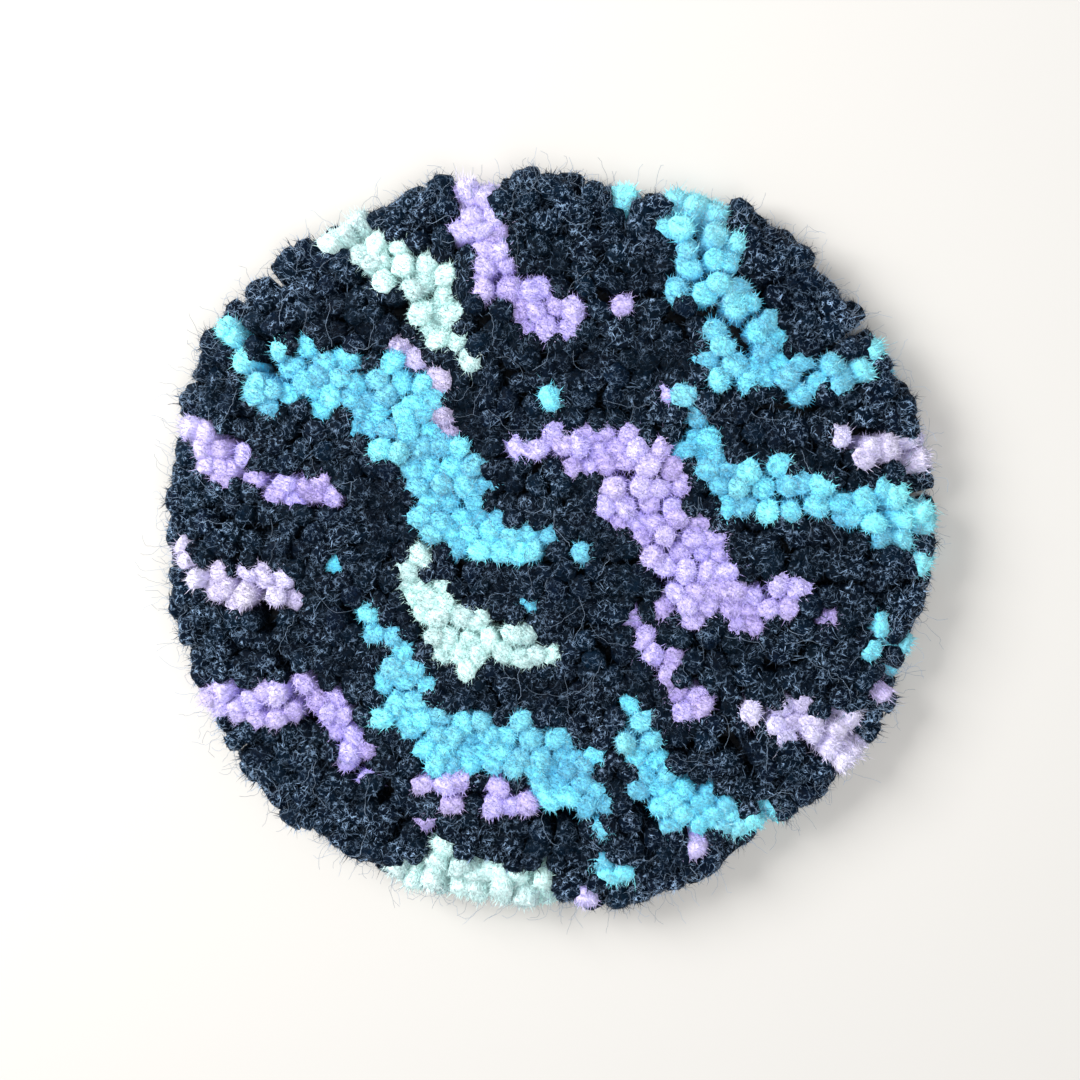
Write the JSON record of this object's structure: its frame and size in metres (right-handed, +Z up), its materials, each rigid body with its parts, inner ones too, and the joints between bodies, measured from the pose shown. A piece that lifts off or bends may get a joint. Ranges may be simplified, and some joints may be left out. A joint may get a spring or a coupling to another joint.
{
  "type": "table rug",
  "caption": "Small round tufted table rug: thick cut yarn pile, splayed and frayed at the rim, on a flat round of ground cloth.",
  "frame": {"origin": "middle of the flat underside, on the surface that the rug lies on", "axes": "+Z up out of the pile, +X to the right and +Y away from somebody who sits at the table"},
  "size_m": [0.1971, 0.1885, 0.018],
  "materials": {
    "ground_cloth": "plain-woven cotton, sized flat",
    "yarn_black": "cut acrylic yarn, frayed ends",
    "yarn_turquoise": "cut acrylic yarn, frayed ends",
    "yarn_lilac": "cut acrylic yarn, frayed ends",
    "yarn_mint": "cut acrylic yarn, frayed ends",
    "yarn_pale_lilac": "cut acrylic yarn, frayed ends"
  },
  "bodies": {
    "root": {"ground_cloth": "ground_cloth", "pile": "yarn_black"}
  },
  "joints": []
}
